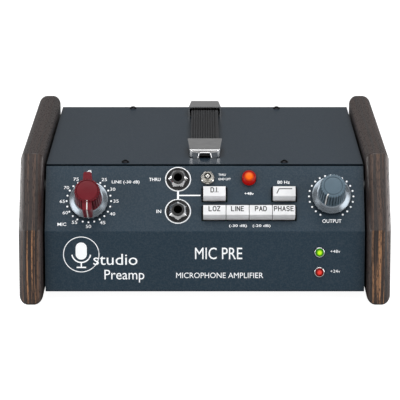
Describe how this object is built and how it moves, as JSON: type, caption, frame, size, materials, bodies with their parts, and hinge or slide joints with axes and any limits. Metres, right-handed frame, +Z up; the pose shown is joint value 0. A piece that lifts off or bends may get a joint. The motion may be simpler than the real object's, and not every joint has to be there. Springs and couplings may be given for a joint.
{
  "type": "microphone preamp",
  "caption": "Tabletop microphone preamp with a sloped control face, knobs, push keys, jacks and lamps, wooden end cheeks and a strap handle.",
  "frame": {"origin": "on the table, under the middle of the object's overall box", "axes": "+Z up, -Y towards the front with the controls, +X to the right seen from the front"},
  "size_m": [0.2784, 0.2399, 0.1088],
  "materials": {
    "board_standoffs": "nickel plated",
    "case_screws": "black oxide",
    "chassis_tray": "satin blue-grey paint",
    "cheek_left": "dark stained hardwood, satin",
    "cheek_right": "dark stained hardwood, satin",
    "cheek_screws": "zinc plated",
    "connector_pins": "gold plated",
    "connector_screws": "black oxide",
    "control_board": "green laminate",
    "di_button": "off-white, semi-gloss",
    "filter_capacitors": "blue sleeve",
    "foot_screws": "zinc plated",
    "gain_knob": "crimson, semi-gloss",
    "gain_knob_skirt": "spun and polished",
    "gain_shaft": "plain",
    "gain_switch": "plated",
    "handle_cap_front": "polished",
    "handle_cap_rear": "polished",
    "handle_screws": "zinc plated",
    "heatsink": "black anodised",
    "highpass_button": "off-white, semi-gloss",
    "in_jack": "black",
    "input_transformer": "laminated steel and copper",
    "jack_nuts": "plated",
    "jack_washers": "black",
    "led_bezels": "plated",
    "led_green": "translucent, lit",
    "led_red": "translucent, lit",
    "line_button": "off-white, semi-gloss",
    "line_output": "black",
    "low_impedance_button": "off-white, semi-gloss",
    "main_board": "green laminate",
    "mic_input": "black",
    "mic_latch": "plated",
    "output_knob": "blue-grey, semi-gloss",
    "output_knob_skirt": "spun and polished",
    "output_pot": "plated",
    "output_shaft": "plain",
    "output_transformer": "laminated steel and copper",
    "output_transistor": "nickel plated",
    "pad_button": "off-white, semi-gloss",
    "panel_nuts": "plated",
    "phantom_button": "translucent orange-red, lit",
    "phantom_switch": "black",
    "phase_button": "off-white, semi-gloss",
    "power_inlet": "black",
    "push_switches": "black",
    "rear_panel": "satin blue-grey paint",
    "ribbon_cable": "grey",
    "rubber_feet": "matte black",
    "side_plate_left": "zinc plated",
    "side_plate_right": "zinc plated",
    "strap_front_half": "ribbed, matte",
    "strap_front_tab": "matte",
    "strap_rear_half": "ribbed, matte",
    "strap_rear_tab": "matte",
    "thru_jack": "black",
    "toggle_lever": "plated",
    "toggle_switch": "plated",
    "top_cover": "satin blue-grey paint"
  },
  "bodies": {
    "case": {"board_standoffs": "board_standoffs", "case_screws": "case_screws", "chassis_tray": "chassis_tray", "cheek_left": "cheek_left", "cheek_right": "cheek_right", "cheek_screws": "cheek_screws", "connector_pins": "connector_pins", "connector_screws": "connector_screws", "control_board": "control_board", "filter_capacitors": "filter_capacitors", "foot_screws": "foot_screws", "gain_switch": "gain_switch", "handle_cap_front": "handle_cap_front", "handle_cap_rear": "handle_cap_rear", "handle_screws": "handle_screws", "heatsink": "heatsink", "in_jack": "in_jack", "input_transformer": "input_transformer", "jack_nuts": "jack_nuts", "jack_washers": "jack_washers", "led_bezels": "led_bezels", "led_green": "led_green", "led_red": "led_red", "line_output": "line_output", "main_board": "main_board", "mic_input": "mic_input", "output_pot": "output_pot", "output_transformer": "output_transformer", "output_transistor": "output_transistor", "panel_nuts": "panel_nuts", "phantom_switch": "phantom_switch", "power_inlet": "power_inlet", "push_switches": "push_switches", "rear_panel": "rear_panel", "ribbon_cable": "ribbon_cable", "rubber_feet": "rubber_feet", "side_plate_left": "side_plate_left", "side_plate_right": "side_plate_right", "strap_front_tab": "strap_front_tab", "thru_jack": "thru_jack", "toggle_switch": "toggle_switch", "top_cover": "top_cover"},
    "gain_control": {"gain_knob": "gain_knob", "gain_knob_skirt": "gain_knob_skirt", "gain_shaft": "gain_shaft"},
    "output_control": {"output_knob": "output_knob", "output_knob_skirt": "output_knob_skirt", "output_shaft": "output_shaft"},
    "di_key": {"di_button": "di_button"},
    "highpass_key": {"highpass_button": "highpass_button"},
    "low_impedance_key": {"low_impedance_button": "low_impedance_button"},
    "line_key": {"line_button": "line_button"},
    "pad_key": {"pad_button": "pad_button"},
    "phase_key": {"phase_button": "phase_button"},
    "phantom_key": {"phantom_button": "phantom_button"},
    "toggle": {"toggle_lever": "toggle_lever"},
    "latch": {"mic_latch": "mic_latch"},
    "strap_front": {"strap_front_half": "strap_front_half"},
    "strap_rear": {"strap_rear_half": "strap_rear_half"},
    "strap_rear_end": {"strap_rear_tab": "strap_rear_tab"}
  },
  "joints": [
    {"name": "gain_turn", "type": "hinge", "parent": "case", "child": "gain_control", "pos_m": [-0.08735, -0.09056, 0.07432], "axis": [0, 0.829, -0.5592], "range_deg": [-150, 150]},
    {"name": "output_turn", "type": "hinge", "parent": "case", "child": "output_control", "pos_m": [0.0953, -0.0885, 0.07738], "axis": [0, 0.829, -0.5592], "range_deg": [0, 300]},
    {"name": "di_push", "type": "slide", "parent": "case", "child": "di_key", "axis": [0, 0.829, -0.5592], "range_m": [0, 0.0035], "stiffness_N_per_m": 400, "springref_m": -0.0015},
    {"name": "highpass_push", "type": "slide", "parent": "case", "child": "highpass_key", "axis": [0, 0.829, -0.5592], "range_m": [0, 0.0035], "stiffness_N_per_m": 400, "springref_m": -0.0015},
    {"name": "low_impedance_push", "type": "slide", "parent": "case", "child": "low_impedance_key", "axis": [0, 0.829, -0.5592], "range_m": [0, 0.0035], "stiffness_N_per_m": 400, "springref_m": -0.0015},
    {"name": "line_push", "type": "slide", "parent": "case", "child": "line_key", "axis": [0, 0.829, -0.5592], "range_m": [0, 0.0035], "stiffness_N_per_m": 400, "springref_m": -0.0015},
    {"name": "pad_push", "type": "slide", "parent": "case", "child": "pad_key", "axis": [0, 0.829, -0.5592], "range_m": [0, 0.0035], "stiffness_N_per_m": 400, "springref_m": -0.0015},
    {"name": "phase_push", "type": "slide", "parent": "case", "child": "phase_key", "axis": [0, 0.829, -0.5592], "range_m": [0, 0.0035], "stiffness_N_per_m": 400, "springref_m": -0.0015},
    {"name": "phantom_push", "type": "slide", "parent": "case", "child": "phantom_key", "axis": [0, 0.829, -0.5592], "range_m": [0, 0.0025], "stiffness_N_per_m": 400, "springref_m": -0.0015},
    {"name": "toggle_throw", "type": "hinge", "parent": "case", "child": "toggle", "pos_m": [0.0021, -0.08122, 0.08996], "axis": [-1, 0, 0], "range_deg": [0, 26]},
    {"name": "latch_push", "type": "slide", "parent": "case", "child": "latch", "axis": [0, -1, 0], "range_m": [0, 0.0016], "stiffness_N_per_m": 500, "springref_m": -0.001},
    {"name": "strap_lift", "type": "hinge", "parent": "case", "child": "strap_front", "pos_m": [0, -0.02598, 0.10451], "axis": [1, 0, 0], "range_deg": [0, 16]},
    {"name": "strap_middle", "type": "hinge", "parent": "strap_front", "child": "strap_rear", "pos_m": [0, 0.02782, 0.09991], "axis": [1, 0, 0], "range_deg": [-33.5, 1]},
    {"name": "strap_rear_end", "type": "hinge", "parent": "strap_rear", "child": "strap_rear_end", "pos_m": [0, 0.08162, 0.10451], "axis": [1, 0, 0], "range_deg": [-1, 17]}
  ],
  "couplings": [
    {"joint": "strap_middle", "follows": "strap_lift", "ratio": -2},
    {"joint": "strap_rear_end", "follows": "strap_lift", "ratio": 1}
  ]
}
